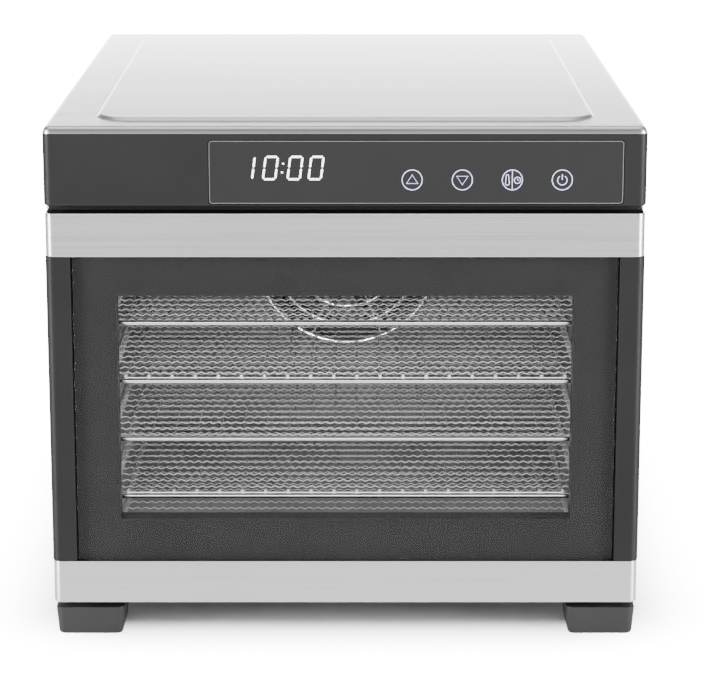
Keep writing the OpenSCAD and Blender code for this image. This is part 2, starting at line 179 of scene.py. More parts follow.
def clear_glass(name, haze=0.004):
    """A thin clear pane: it lets light straight through and reflects at a slant, with a faint haze."""
    g = Graph(name)
    smear = g.noise(14.0, 3.0)
    clear = g.add("ShaderNodeBsdfTransparent")
    clear.inputs["Color"].default_value = (0.95, 0.95, 0.95, 1)
    gloss = g.add("ShaderNodeBsdfGlossy")
    g.link(g.spread(smear, 0.015, 0.06), gloss.inputs["Roughness"])
    fresnel = g.add("ShaderNodeFresnel")
    fresnel.inputs["IOR"].default_value = 1.45
    mix = g.add("ShaderNodeMixShader")
    shine = g.maths("MULTIPLY", fresnel.outputs[0], 0.14)
    g.link(g.maths("ADD", shine, g.spread(smear, 0.0, haze)), mix.inputs[0])
    g.link(clear.outputs[0], mix.inputs[1])
    g.link(gloss.outputs[0], mix.inputs[2])
    return g.finish(mix.outputs[0])


def glowing(name, colour, strength):
    g = Graph(name)
    p = g.add("ShaderNodeBsdfPrincipled")
    g.link(g.mottled(g.noise(700.0, 1.0), colour, 0.94, 1.0), p.inputs["Emission Color"])
    p.inputs["Base Color"].default_value = (*colour, 1)
    p.inputs["Roughness"].default_value = 0.4
    p.inputs["Emission Strength"].default_value = strength
    return g.finish(p.outputs[0])


MAT = {
    "band": brushed("band_steel", (0.74, 0.74, 0.735), (10, 10, 2100), (0.22, 0.4), 0.2, 0.00003),
    "cover": brushed("cover_steel", (0.86, 0.86, 0.86), (12, 1500, 12), (0.3, 0.4), 0.05),
    "sheet": metal("plain_sheet", (0.62, 0.63, 0.64), (0.3, 0.5), 0.08),
    "liner": metal("liner_sheet", (0.55, 0.55, 0.55), (0.45, 0.6), 0.05, metallic=0.15),
    # painted light: the side walls and tray runners are the liner's sheet painted lighter, to lift the shade
    # they stand in
    "wall": metal("side_liner_painted_lighter", (0.85, 0.85, 0.85), (0.4, 0.55), 0.05, metallic=0.25),
    # painted light: the cross wires and the lengthwise wires are the same steel; the cross wires are painted
    # lighter and less metallic and the lengthwise wires darker, for how the light falls on each
    "wire": metal("bright_wire", (0.97, 0.97, 0.97), (0.26, 0.34), 0.02, 2500.0, metallic=0.45),
    "long_wire_painted_darker": metal("long_wire_painted_darker", (0.6, 0.6, 0.6), (0.3, 0.4), 0.05, 2500.0, metallic=0.8),
    # painted highlight: the wire ends are near white and barely metallic so that they show as bright dots
    "bump": metal("wire_end_painted_glint", (0.98, 0.98, 0.98), (0.2, 0.3), 0.01, 1500.0, metallic=0.1),
    "guard": metal("polished_wire", (0.97, 0.97, 0.97), (0.26, 0.34), 0.02, 900.0, 0.000002),
    "rail": metal("bright_rail", (0.9, 0.9, 0.9), (0.08, 0.16), 0.04, 1200.0),
    "fixing": metal("zinc_plate", (0.6, 0.61, 0.62), (0.25, 0.42), 0.15),
    "aluminium": metal("fan_sheet", (0.7, 0.71, 0.72), (0.3, 0.45), 0.08),
    "motor": plastic("motor_paint", (0.05, 0.05, 0.055), (0.35, 0.5), 600.0),
    "heater": metal("heater_sheath", (0.3, 0.27, 0.25), (0.35, 0.6), 0.3, 500.0, 0.00003),
    "charcoal": plastic("charcoal_plastic", (0.012, 0.012, 0.0125), (0.4, 0.5), 1700.0, 0.000006,
                        specular=0.2),
    "stile": plastic("stile_plastic", (0.011, 0.011, 0.0115), (0.4, 0.5), 1700.0, 0.000006, specular=0.2),
    "foot": plastic("foot_plastic", (0.024, 0.024, 0.025), (0.5, 0.64), 1200.0, 0.00004, specular=0.25),
    "black": plastic("black_plastic", (0.012, 0.012, 0.013), (0.45, 0.6), 1100.0, 0.00004),
    "panel": plastic("panel_gloss", (0.015, 0.015, 0.0155), (0.36, 0.37), 60.0, 0.0000002, 0.04, 0.26),
    # painted highlight: a lighter grey for the thin line that stands for the light on the touch panel's
    # chamfered edge
    "outline": plastic("painted_lens_edge_highlight", (0.16, 0.16, 0.165), (0.3, 0.4), 900.0, 0.00001),
    "border": plastic("border_enamel", (0.024, 0.024, 0.0245), (0.42, 0.43), 60.0, 0.0000002, 0.04, 0.1),
    "glass": clear_glass("window_glass"),
    "rubber": plastic("seal_rubber", (0.02, 0.02, 0.02), (0.6, 0.75), 900.0, 0.00005, 0.15),
    "board": plastic("solder_mask", (0.02, 0.14, 0.06), (0.3, 0.45), 300.0, 0.00003, 0.25),
    "white": plastic("white_nylon", (0.72, 0.72, 0.69), (0.4, 0.5), 800.0, 0.00003, 0.05),
    "brass": metal("spring_brass", (0.8, 0.6, 0.28), (0.25, 0.35)),
    "digits": glowing("display_glow", (0.92, 0.95, 1.0), 3.6),
    "icons": glowing("icon_glow", (0.58, 0.56, 0.95), 1.1),
}


# ---------------------------------------------------------------- mesh helpers

def arc(cx, cy, r, a0, a1, steps):
    """Points along an arc from angle a0 to angle a1, both ends included."""
    angles = [math.radians(a0 + (a1 - a0) * i / steps) for i in range(steps + 1)]
    return [(cx + r * math.cos(a), cy + r * math.sin(a)) for a in angles]


def round_rect(x0, x1, y0, y1, r, steps=10):
    return (arc(x1 - r, y1 - r, r, 0, 90, steps) + arc(x0 + r, y1 - r, r, 90, 180, steps)
            + arc(x0 + r, y0 + r, r, 180, 270, steps) + arc(x1 - r, y0 + r, r, 270, 360, steps))


def at_height(loop, z):
    return [(u, v, z) for u, v in loop]


PLACE = {"x": lambda u, v, w: (w, u, v), "y": lambda u, v, w: (u, w, v), "z": lambda u, v, w: (u, v, w)}


class Shape:
    """Vertices in millimetres and faces, gathered before they become one mesh."""

    def __init__(self):
        self.verts, self.faces = [], []

    def add(self, verts, faces):
        base = len(self.verts)
        self.verts.extend(verts)
        self.faces.extend([tuple(base + i for i in f) for f in faces])
        return self

    def rings(self, rings, caps=False):
        """Quads between closed loops of equal length, with a face over each end if caps is set."""
        n = len(rings[0])
        faces = []
        for k in range(len(rings) - 1):
            for i in range(n):
                j = (i + 1) % n
                faces.append((k * n + i, k * n + j, (k + 1) * n + j, (k + 1) * n + i))
        if caps:
            faces.append(tuple(range(n))[::-1])
            faces.append(tuple((len(rings) - 1) * n + i for i in range(n)))
        return self.add([p for ring in rings for p in ring], faces)

    def prism(self, loop, w0, w1, axis):
        place = PLACE[axis]
        return self.rings([[place(u, v, w) for u, v in loop] for w in (w0, w1)], caps=True)

    def frame_plate(self, outer, inner, w0, w1, axis):
        """A plate with a window: outer and inner are loops of equal length."""
        place = PLACE[axis]
        around = ((outer, w0), (outer, w1), (inner, w1), (inner, w0), (outer, w0))
        return self.rings([[place(u, v, w) for u, v in loop] for loop, w in around])

    def box(self, x, y, z):
        loop = [(x[0], y[0]), (x[1], y[0]), (x[1], y[1]), (x[0], y[1])]
        return self.prism(loop, z[0], z[1], "z")

    def tube(self, points, radius, sides=10, closed=False):
        """A round bar along the points."""
        pts = [Vector(p) for p in points]
        n = len(pts)
        rings = []
        normal = None
        for i, p in enumerate(pts):
            a = pts[i - 1] if (closed or i) else p
            b = pts[(i + 1) % n] if (closed or i < n - 1) else p
            t = (b - a).normalized()
            if normal is None:
                normal = t.orthogonal().normalized()
            normal = (normal - t * normal.dot(t)).normalized()
            side = t.cross(normal)
            turns = [2 * math.pi * k / sides for k in range(sides)]
            rings.append([tuple(p + radius * (math.cos(a) * normal + math.sin(a) * side)) for a in turns])
        if closed:
            rings.append(rings[0])
        return self.rings(rings, caps=not closed)


def gathered(shape, name, weld=True):
    """The shape as a mesh, and as a bmesh with welded corners and outward normals."""
    mesh = bpy.data.meshes.new(name)
    mesh.from_pydata([tuple(c * MM for c in v) for v in shape.verts], [], shape.faces)
    bm = bmesh.new()
    bm.from_mesh(mesh)
    if weld:
        bmesh.ops.remove_doubles(bm, verts=bm.verts, dist=WELD)
    bmesh.ops.recalc_face_normals(bm, faces=bm.faces)
    return mesh, bm


def soften(obj, width, steps, angle):
    """Rounds edges sharper than the angle to the width, and evens the shading."""
    if width:
        mod = obj.modifiers.new("edges", "BEVEL")
        mod.width = width * MM
        mod.segments = steps
        mod.limit_method = "ANGLE"
        mod.angle_limit = math.radians(angle)
    normals = obj.modifiers.new("normals", "WEIGHTED_NORMAL")
    normals.keep_sharp = True


def declare(obj, body, stands_for):
    """Puts a piece into the scene and tells the frame where it belongs."""
    bpy.context.scene.collection.objects.link(obj)
    bpy.context.view_layer.update()
    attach(obj, body)
    if stands_for:
        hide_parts(*stands_for)


def build(name, shape, material, body, stands_for=(), bevel=0.0, sharp=38.0, weld=True):
    """A finished piece: mesh, material, softened edges, body and the CAD nodes it replaces."""
    mesh, bm = gathered(shape, name, weld)
    limit = math.radians(sharp)
    for f in bm.faces:
        f.smooth = True
    for e in bm.edges:
        e.smooth = bevel > 0 or not (len(e.link_faces) == 2 and e.calc_face_angle(0) > limit)
    bm.to_mesh(mesh)
    bm.free()
    mesh.materials.append(material)
    obj = bpy.data.objects.new(name, mesh)
    soften(obj, bevel, 3, sharp)
    declare(obj, body, stands_for)
    return obj


def cut(obj, shape):
    """Takes a shape out of a piece, and keeps the result as the piece's own mesh."""
    mesh, bm = gathered(shape, "cutter")
    bm.to_mesh(mesh)
    bm.free()
    tool = bpy.data.objects.new("cutter", mesh)
    bpy.context.scene.collection.objects.link(tool)
    later = list(obj.modifiers)
    for m in later:
        m.show_viewport = False
    mod = obj.modifiers.new("cut", "BOOLEAN")
    mod.operation, mod.object, mod.solver = "DIFFERENCE", tool, "EXACT"
    graph = bpy.context.evaluated_depsgraph_get()
    old = obj.data
    obj.data = bpy.data.meshes.new_from_object(obj.evaluated_get(graph))
    obj.modifiers.remove(obj.modifiers["cut"])
    for m in later:
        m.show_viewport = True
    bpy.data.meshes.remove(old)
    obj.data.name = obj.name
    bpy.data.objects.remove(tool)
    bpy.data.meshes.remove(mesh)


def dress(node, material, bevel):
    """A CAD node kept as it is: a better material, welded corners and softened edges."""
    obj = frame["nodes"][node]
    for s in obj.material_slots:
        s.material = material
    if not obj.material_slots:
        obj.data.materials.append(material)
    weld = obj.modifiers.new("weld", "WELD")
    weld.merge_threshold = WELD
    soften(obj, bevel, 2, 30.0)


# ---------------------------------------------------------------- outer cover

cover_lo, cover_hi = mm_box("outer_cover")
HALF, FRONT, REAR, BASE, TOP = cover_hi[0], cover_lo[1], cover_hi[1], cover_lo[2], cover_hi[2]
FRAME_Y = mm_box("front_frame")[0][1]
housing_lo, housing_hi = mm_box("control_housing")
LIP = housing_hi[2]             # the cover's front lip ends on the housing
CORNER_R = 5                    # upright front corners of the cover, housing and door
SHEET = 1
BEND_R, BEND_STEPS = 4.0, 8     # where the top turns down
PRESS = 1.2                     # height of the pressed panel in the top
FLAT = TOP - PRESS
COVER_STEPS = 14                # steps in each rounded corner of the cover
PANEL_SIDE, PANEL_FRONT, PANEL_REAR, PANEL_R = 26.4, 24.5, 13, 22
PANEL_MIDDLE = 13.5             # a last ring this far inside the panel's outline
# the panel's edge, as inset and height: a fine groove, then an S-shaped step up
PANEL_EDGE = ((0.0, 0.0), (0.25, -0.12), (0.5, -0.3), (0.8, -0.34), (1.1, -0.2), (1.5, 0.15), (2.0, 0.6),
              (2.5, 0.95), (3.0, 1.12), (3.6, 1.19), (4.4, PRESS))


def top_ring(inset, z, r, back):
    loop = round_rect(-HALF + inset, HALF - inset, FRONT + inset, REAR - back, r, COVER_STEPS)
    return at_height(loop, z)


def panel_ring(inset, height):
    loop = round_rect(-HALF + PANEL_SIDE + inset, HALF - PANEL_SIDE - inset, FRONT + PANEL_FRONT + inset,
                      REAR - PANEL_REAR - inset, PANEL_R - inset, COVER_STEPS)
    return at_height(loop, FLAT + height)


def cover_shape():
    s = Shape()
    rings = [top_ring(SHEET, LIP, CORNER_R - SHEET, 0), top_ring(0, LIP, CORNER_R, 0)]
    for i in range(1, BEND_STEPS + 1):
        a = math.radians(i * 90 / BEND_STEPS)
        inset = BEND_R * (1 - math.cos(a))
        height = FLAT - BEND_R + BEND_R * math.sin(a)
        rings.append(top_ring(inset, height, max(1.5, CORNER_R - inset), inset * 0.1))
    rings += [panel_ring(inset, height) for inset, height in PANEL_EDGE]
    rings.append(panel_ring(PANEL_MIDDLE, PRESS))
    s.rings(rings)
    s.add(rings[-1], [tuple(range(len(rings[-1])))])
    # side walls, with a hem at their lower edge
    overlap = 0.4
    wall = [(HALF, LIP + overlap), (HALF, BASE + 0.8), (HALF - 0.3, BASE + 0.2), (HALF - 0.8, BASE),
            (HALF - SHEET, BASE + 0.4), (HALF - SHEET, LIP + overlap)]
    for side in (-1, 1):
        s.prism([(side * u, v) for u, v in wall], FRAME_Y, REAR, "y")
    return s


# ---------------------------------------------------------------- control housing and touch panel

HOUSING_LOW_R = 1.8             # rounded lower edge
FRONT_STEPS = 12                # steps in a front corner of the housing or the door
lens_lo, lens_hi = mm_box("control_panel_glass")
PANEL_Y = FRONT + 0.25          # the touch panel lies just behind the housing's face


def front_corners(half, nose, r, turn=CORNER_R):
    """The left and right front corners, seen from above, turned about points that lie turn inside."""
    return (arc(-half + turn, nose + turn, r, 180, 270, FRONT_STEPS),
            arc(half - turn, nose + turn, r, 270, 360, FRONT_STEPS))


def housing_shape():
    """The shell, with rounded upright edges and a rounded lower edge."""
    z0, z1, back = housing_lo[2], housing_hi[2], housing_hi[1]
    levels = []
    for k in range(7):
        a = math.radians(k * 15)
        levels.append((HOUSING_LOW_R * (1 - math.sin(a)), z0 + HOUSING_LOW_R * (1 - math.cos(a))))
    levels += [(0.0, z1 - 0.6), (0.25, z1 - 0.2), (0.7, z1)]
    rings = []
    for inset, z in levels:
        left, right = front_corners(HALF, FRONT, CORNER_R - inset)
        rings.append(at_height([(-HALF + inset, back)] + left + right + [(HALF - inset, back)], z))
    return Shape().rings(rings, caps=True)


def lens_loop(margin, r):
    return round_rect(lens_lo[0] - margin, lens_hi[0] + margin, lens_lo[2] - margin, lens_hi[2] + margin, r)


def add_housing():
    housing = build("housing_shell", housing_shape(), MAT["charcoal"], "cabinet",
                    ["control_housing"], sharp=35)
    cut(housing, Shape().prism(lens_loop(0.3, 2.3), FRONT - 1, FRONT + 2.2, "y"))
    build("touch_panel", Shape().prism(lens_loop(0, 2), PANEL_Y, FRONT + 2, "y"), MAT["panel"], "cabinet",
          ["control_panel_glass"], bevel=0.35)
    # painted highlight: a thin lighter grey line just inside the lens's edge stands for the light its
    # chamfer catches
    line = Shape().frame_plate(lens_loop(-0.3, 1.8), lens_loop(-0.65, 1.4), FRONT + 0.2, FRONT + 0.3, "y")
    build("painted_lens_edge_highlight", line, MAT["outline"], "cabinet")


# ---------------------------------------------------------------- display and keys

INK0, INK1 = FRONT + 0.17, FRONT + 0.3       # the lit marks stand a hair proud of the panel
SEGMENTS = {"0": "abcdef", "1": "bc"}
DIGIT_W, DIGIT_H, BAR, GAP, LEAN = 7.0, 12.9, 1.12, 0.28, 0.13
FIG_Z = 274.4                                # foot of the figures
FIGURES = (("1", -60.0), ("0", -46.8), ("0", -32.8), ("0", -20.8))
COLON_X, COLON_HALF, COLON_HEIGHTS = -36.4, 0.5, (4.0, 8.9)
KEY_X = [38.3, 66.9, 95.4, 123.9]
KEY_Z, KEY_R = 274.0, 5.75
LINE, THIN, HAND = 0.45, 0.42, 0.4           # widths of the keys' lines


def stroke(shape, points, width, closed=False):
    """A flat line of even width in the panel's plane, through points (x, z)."""
    pts = [Vector(p) for p in points]
    n = len(pts)
    rings = []
    for i, p in enumerate(pts):
        a = pts[i - 1] if (closed or i) else p
        b = pts[(i + 1) % n] if (closed or i < n - 1) else p
        t = (b - a).normalized()
        side = Vector((-t.y, t.x)) * width / 2
        l, r = p + side, p - side
        rings.append([(l.x, INK0, l.y), (r.x, INK0, r.y), (r.x, INK1, r.y), (l.x, INK1, l.y)])
    if closed:
        rings.append(rings[0])
    shape.rings(rings, caps=not closed)


def blot(shape, points):
    shape.prism(points, INK0, INK1, "y")


def bar_outline(x0, z0, x1, z1):
    """One pointed bar of a seven-segment figure, level or upright."""
    d = BAR / 2
    if z0 == z1:
        return [(x0 + GAP, z0), (x0 + d + GAP, z0 + d), (x1 - d - GAP, z0 + d), (x1 - GAP, z0),
                (x1 - d - GAP, z0 - d), (x0 + d + GAP, z0 - d)]
    return [(x0, z0 + GAP), (x0 + d, z0 + d + GAP), (x0 + d, z1 - d - GAP), (x0, z1 - GAP),
            (x0 - d, z1 - d - GAP), (x0 - d, z0 + d + GAP)]


def digit(shape, char, x, z):
    """One slanted seven-segment figure with its lower left corner at x, z."""
    w, h, half = DIGIT_W, DIGIT_H, DIGIT_H / 2
    bars = {"a": (0, h, w, h), "b": (w, half, w, h), "c": (w, 0, w, half), "d": (0, 0, w, 0),
            "e": (0, 0, 0, half), "f": (0, half, 0, h)}
    for name in SEGMENTS[char]:
        blot(shape, [(x + u + LEAN * v, z + v) for u, v in bar_outline(*bars[name])])


def figures_shape():
    s = Shape()
    for char, x in FIGURES:
        digit(s, char, x, FIG_Z)
    for height in COLON_HEIGHTS:
        z = FIG_Z + height
        x = COLON_X + LEAN * (z - FIG_Z)
        d = COLON_HALF
        blot(s, [(x - d, z - d), (x + d, z - d), (x + d, z + d), (x - d, z + d)])
    return s


def arrow(s, x, way):
    foot, tip = KEY_Z - way * 2.1, KEY_Z + way * 2.9
    stroke(s, [(x - 3.3, foot), (x + 3.3, foot), (x, tip)], LINE, True)


def thermometer_and_clock(s, x):
    stroke(s, [(x, KEY_Z - KEY_R), (x, KEY_Z + KEY_R)], LINE)
    stroke(s, arc(x - 2.8, KEY_Z + 2.4, 0.7, 0, 180, 10) + arc(x - 2.8, KEY_Z - 1.9, 1.15, 160, 380, 16),
           THIN, True)
    clock_x, clock_z = x + 2.9, KEY_Z - 0.2
    stroke(s, arc(clock_x, clock_z, 1.8, 0, 360, 48)[:-1], THIN, True)
    stroke(s, [(clock_x, KEY_Z + 0.9), (clock_x, clock_z), (x + 3.8, clock_z)], HAND)


def power(s, x):
    stroke(s, arc(x, KEY_Z - 0.2, 2.7, 122, 418, 36), LINE)
    stroke(s, [(x, KEY_Z + 0.1), (x, KEY_Z + 3.3)], LINE)


def icons_shape():
    s = Shape()
    for x in KEY_X:
        stroke(s, arc(x, KEY_Z, KEY_R, 0, 360, 48)[:-1], LINE, True)
    arrow(s, KEY_X[0], 1)
    arrow(s, KEY_X[1], -1)
    thermometer_and_clock(s, KEY_X[2])
    power(s, KEY_X[3])
    return s


# ---------------------------------------------------------------- door

band_hi = mm_box("door_top_band")[1]
BAND_HALF, DOOR_BACK = band_hi[0], band_hi[1]
BAND_SHEET = 1.2
STILE_W = 14.5
WIN_X, WIN_Z0, WIN_Z1 = 132.2, 71.2, 205.3   # the clear window inside the printed border
# the seal's lip, as inset, side (0 is its front and 1 its rear) and distance from that side
SEAL = ((0, 0, 0.0), (0.3, 0, 0.4), (1.1, 1, -0.05), (2.0, 1, 0.0), (2.9, 1, -0.05), (3.7, 0, 0.4),
        (4, 0, 0.0))


def band_outline():
    """A channel of bent sheet, seen from above, with rounded front corners."""
    left, right = front_corners(BAND_HALF, FRONT, CORNER_R)
    inner_left, inner_right = front_corners(BAND_HALF, FRONT, CORNER_R - BAND_SHEET)
    inside = BAND_HALF - BAND_SHEET
    outer = [(-BAND_HALF, DOOR_BACK)] + left + right + [(BAND_HALF, DOOR_BACK)]
    return outer + [(inside, DOOR_BACK)] + inner_right[::-1] + inner_left[::-1] + [(-inside, DOOR_BACK)]


def door_cutter():
    """The space that the door's lower rear corner must leave free as it turns about its pins."""
    hinge = next(j for j in frame["record"]["behaviour"]["joints"] if j["name"] == "door_hinge")
    pin_y, pin_z = hinge["pos_m"][1] / MM, hinge["pos_m"][2] / MM
    high, low, back = pin_z - 3.4, pin_z - 9.6, pin_y + 14
    loop = [(pin_y + 10.2, high), (pin_y + 5, low), (back, low), (back, high)]
    return Shape().prism(loop, -HALF - 2, HALF + 2, "x")


def band(name, node):
    lo, hi = mm_box(node)
    shape = Shape().prism(band_outline(), lo[2], hi[2], "z")
    return build(name, shape, MAT["band"], "door", [node], bevel=0.5)


def add_door_cap():
    """The cap that closes the door's top, rounded to lie inside the upper band."""
    lo, hi = mm_box("door_top_cap")
    half, nose, r = BAND_HALF - 1.35, FRONT + 1.4, 3.7
    left, right = front_corners(half, nose, r, turn=r)
    loop = [(-half, DOOR_BACK)] + left + right + [(half, DOOR_BACK)]
    build("door_cap", Shape().prism(loop, lo[2], hi[2], "z"), MAT["charcoal"], "door",
          ["door_top_cap"], bevel=0.3)


def add_stile(side, name, node):
    lo, hi = mm_box(node)
    inner = HALF - STILE_W
    corner = front_corners(HALF, FRONT, CORNER_R)[1]
    loop = [(inner, FRONT + 0.2)] + corner + [(HALF, DOOR_BACK), (inner, DOOR_BACK)]
    build(name, Shape().prism([(side * u, v) for u, v in loop], lo[2], hi[2], "z"), MAT["stile"], "door",
          [node], bevel=0.4)


def add_pane():
    """The glass, and the dark border printed on it."""
    lo, hi = mm_box("door_glass")
    build("door_pane", Shape().prism(round_rect(lo[0], hi[0], lo[2], hi[2], 2), lo[1], hi[1], "y"),
          MAT["glass"], "door", ["door_glass"], bevel=0.5)
    lo, hi = mm_box("door_glass_border")
    outer = round_rect(lo[0], hi[0], lo[2], hi[2], 1.5, 6)
    window = round_rect(-WIN_X, WIN_X, WIN_Z0, WIN_Z1, 0.5, 6)
    build("pane_border", Shape().frame_plate(outer, window, lo[1], hi[1], "y"), MAT["border"], "door",
          ["door_glass_border"])


def seal_shape():
    """A soft rounded lip round the mouth."""
    lo, hi = mm_box("door_seal")
    rings = []
    for inset, end, step in SEAL:
        loop = round_rect(lo[0] + inset, hi[0] - inset, lo[2] + inset, hi[2] - inset, 6 - inset, 6)
        rings.append([(u, (lo, hi)[end][1] + step, v) for u, v in loop])
    rings.append(rings[0])
    return Shape().rings(rings)


def add_door():
    band("door_band_upper", "door_top_band")
    cut(band("door_band_lower", "door_bottom_band"), door_cutter())
    add_door_cap()
    add_stile(-1, "left_stile_moulding", "door_left_stile")
    add_stile(1, "right_stile_moulding", "door_right_stile")
    add_pane()
    build("seal_lip", seal_shape(), MAT["rubber"], "door", ["door_seal"])


# ---------------------------------------------------------------- trays

tray_lo, tray_hi = mm_box("tray_1")
TRAY_HW, TRAY_Y0, TRAY_Y1 = tray_hi[0], tray_lo[1], tray_hi[1]
TRAYS = 6
ROD, TRAY_R = 1.7, 9                         # the frame rod's radius and its corners
BIND_R, BUMP_R = 0.42, 0.85
PITCH, ACROSS, ALONG = 13.66, 21, 20         # spacing of the wires, and how many run in X and in Y
CROSS_R, LONG_R = 0.35, 0.29
CRIMP_H, CRIMPS = 0.55, 2.5                  # crimp height, and crimps in one pitch
WIRE_SIDES, CRIMP_STEPS = 6, 6
MESH_OFFSET = 1.4                            # the mesh lies this far above or below the rod's middle

cross_y = [(TRAY_Y0 + TRAY_Y1) / 2 + (i - (ACROSS - 1) / 2) * PITCH for i in range(ACROSS)]
long_x = [(i - (ALONG - 1) / 2) * PITCH for i in range(ALONG)]


def crimped(start, end, offset, crossing, sign, radius):
    """Rings of a wire that rises and falls as it passes the wires that cross it."""
    period = PITCH / CRIMPS
    count = int(round((end - start) / period * CRIMP_STEPS))
    rings = []
    for i in range(count + 1):
        u = start + (end - start) * i / count
        phase = 2 * math.pi * (u - crossing) / period
        z = sign * CRIMP_H * math.cos(phase)
        slope = -sign * CRIMP_H * math.sin(phase) * 2 * math.pi / period
        k = math.hypot(1, slope)
        ring = []
        for j in range(WIRE_SIDES):
            a = 2 * math.pi * j / WIRE_SIDES
            up, out = radius * math.cos(a), radius * math.sin(a)
            ring.append((u - up * slope / k, offset + out, z + up / k))
        rings.append(ring)
    return rings


def woven_wires():
    """Wires in X and wires in Y, each woven over and under the others."""
    cross, lengthwise = Shape(), Shape()
    half, y0, y1 = TRAY_HW - 3.0, TRAY_Y0 + 3.2, TRAY_Y1 - 3.2
    for j, y in enumerate(cross_y):
        sign = 1 if j % 2 == 0 else -1
        cross.rings(crimped(-half, half, y, long_x[0], sign, CROSS_R), caps=True)
    for i, x in enumerate(long_x):
        sign = -1 if i % 2 == 0 else 1
        rings = crimped(y0, y1, x, cross_y[0], sign, LONG_R)
        lengthwise.rings([[(v, u, w) for u, v, w in ring] for ring in rings], caps=True)
    return cross, lengthwise


def wire_mesh(name, shape, way, material):
    """One mesh that several trays share; way is -1 for a mesh that is turned upside down."""
    mesh = bpy.data.meshes.new(name)
    verts = [(x * MM, y * MM, way * z * MM) for x, y, z in shape.verts]
    mesh.from_pydata(verts, [], [f[::way] for f in shape.faces])
    mesh.polygons.foreach_set("use_smooth", [True] * len(mesh.polygons))
    mesh.materials.append(material)
    return mesh


def tray_frame_shape(z, up):
    """The rod, and a straight wire that binds the mesh's front and rear ends to it."""
    s = Shape()
    loop = round_rect(-TRAY_HW + ROD, TRAY_HW - ROD, TRAY_Y0 + ROD, TRAY_Y1 - ROD, TRAY_R, 8)
    s.tube(at_height(loop, z), ROD, 14, closed=True)
    back, high = (ROD + 0.6, ROD + 0.12) if up else (ROD + 1.1, -0.9)
    half = TRAY_HW - 2.2
    for y, way in ((TRAY_Y0, 1), (TRAY_Y1, -1)):
        s.tube([(x, y + way * back, z + high) for x in (-half, half)], BIND_R, 8)
    return s


def wire_ends_shape(z):
    """The long wires' ends, as small bumps over the rod."""
    s = Shape()
    path = ((6.5, 1.5), (ROD + 2.2, ROD + 1.1), (ROD + 0.6, ROD + 1.35), (ROD - 0.3, ROD + 1.25))
    for y, way in ((TRAY_Y0, 1), (TRAY_Y1, -1)):
        for x in long_x:
            s.tube([(x, y + way * back, z + high) for back, high in path], BUMP_R, 12)
    return s


def add_trays():
    """Odd trays have their mesh above the rod, and even ones below it."""
    cross, lengthwise = woven_wires()
    # the cross wires get the copy of the wire painted lighter, and the lengthwise wires the copy painted
    # darker
    meshes = {way: (wire_mesh(f"cross_{tag}", cross, way, MAT["wire"]),
                    wire_mesh(f"long_{tag}", lengthwise, way, MAT["long_wire_painted_darker"]))
              for way, tag in ((1, "up"), (-1, "down"))}
    for k in range(1, TRAYS + 1):
        lo, hi = mm_box(f"tray_{k}")
        z = (lo[2] + hi[2]) / 2
        body, stands_for = f"tray_{k}_body", [f"tray_{k}"]
        way = 1 if k % 2 == 1 else -1
        build(f"tray_{k}_frame", tray_frame_shape(z, way == 1), MAT["rail"], body, stands_for,
              weld=False)
        if way == 1:
            # the wire ends carry the painted highlight
            build(f"tray_{k}_wire_ends", wire_ends_shape(z), MAT["bump"], body, stands_for,
                  weld=False)
        for part, mesh in zip(("cross", "long"), meshes[way]):
            obj = bpy.data.objects.new(f"tray_{k}_{part}_wires", mesh)
            obj.location.z = (z + way * MESH_OFFSET) * MM
            declare(obj, body, stands_for)


# ---------------------------------------------------------------- fan guard and air louvres

guard_lo, guard_hi = mm_box("fan_guard")
AXLE_Z = (guard_lo[2] + guard_hi[2]) / 2
BAFFLE_Y = mm_box("fan_baffle")[0][1]
LOUVRE_X, LOUVRE_HALF, LOUVRE_Z, LOUVRE_STEP, LOUVRES = 116, 21, 60, 12, 5


def hoop(shape, r, y, wire, sides=12, steps=72):
    turns = [2 * math.pi * i / steps for i in range(steps)]
    shape.tube([(r * math.cos(a), y, AXLE_Z + r * math.sin(a)) for a in turns], wire, sides, closed=True)


def guard_shape():
    """Rings of wire on eight spokes, with a thicker ring outside."""
    s = Shape()
    for r in (12, 25, 38, 51):
        hoop(s, r, BAFFLE_Y - 2.3, 1.1)
    hoop(s, 64, BAFFLE_Y - 1.95, 1.9, 16)
    for k in range(8):
        a = math.radians(22.5 + 45 * k)
        spoke = [(r * math.cos(a), BAFFLE_Y - 1.0, AXLE_Z + r * math.sin(a)) for r in (9, 30, 50, 66)]
        s.tube(spoke, 0.95, 8)
    return s


def louvres_shape():
    """A pressed hood over each slot of the baffle, open along its lower edge."""
    s = Shape()
    for side in (-1, 1):
        for i in range(LOUVRES):
            z0 = LOUVRE_Z + i * LOUVRE_STEP
            outer = [(BAFFLE_Y, z0 + 6.2), (BAFFLE_Y - 1.2, z0 + 5.9), (BAFFLE_Y - 2.3, z0 + 4.6),
                     (BAFFLE_Y - 3.0, z0 + 2.4), (BAFFLE_Y - 3.3, z0 - 0.4)]
            inner = [(y + 0.6, z) for y, z in outer[:0:-1]] + [(BAFFLE_Y, z0 + 5.4)]
            middle = side * LOUVRE_X
            s.prism(outer + inner, middle - LOUVRE_HALF, middle + LOUVRE_HALF, "x")
    return s


# ---------------------------------------------------------------- feet

# a foot's side, as inset and height from the floor up
FOOT = ((4.0, 0.0), (2.6, 0.05), (1.8, 0.5), (1.3, 1.4), (1.1, 2.6), (0.55, 9.0), (0.0, 16.3), (0.1, 16.9),
        (0.6, 17.2))


def foot_shape(node):
    lo, hi = mm_box(node)
    s = Shape()
    rings = []
    for inset, z in FOOT:
        loop = round_rect(lo[0] + inset, hi[0] - inset, lo[1] + inset, hi[1] - inset, max(2.0, 5 - inset), 8)
        rings.append(at_height(loop, z))
    s.rings(rings, caps=True)
    # the neck that meets the base, clear of the door
    neck = 4
    s.box((lo[0] + neck, hi[0] - neck), (max(lo[1] + 5, FRAME_Y + 1), hi[1] - neck), (17.0, 21))
    return s


# ---------------------------------------------------------------- CAD nodes that stay

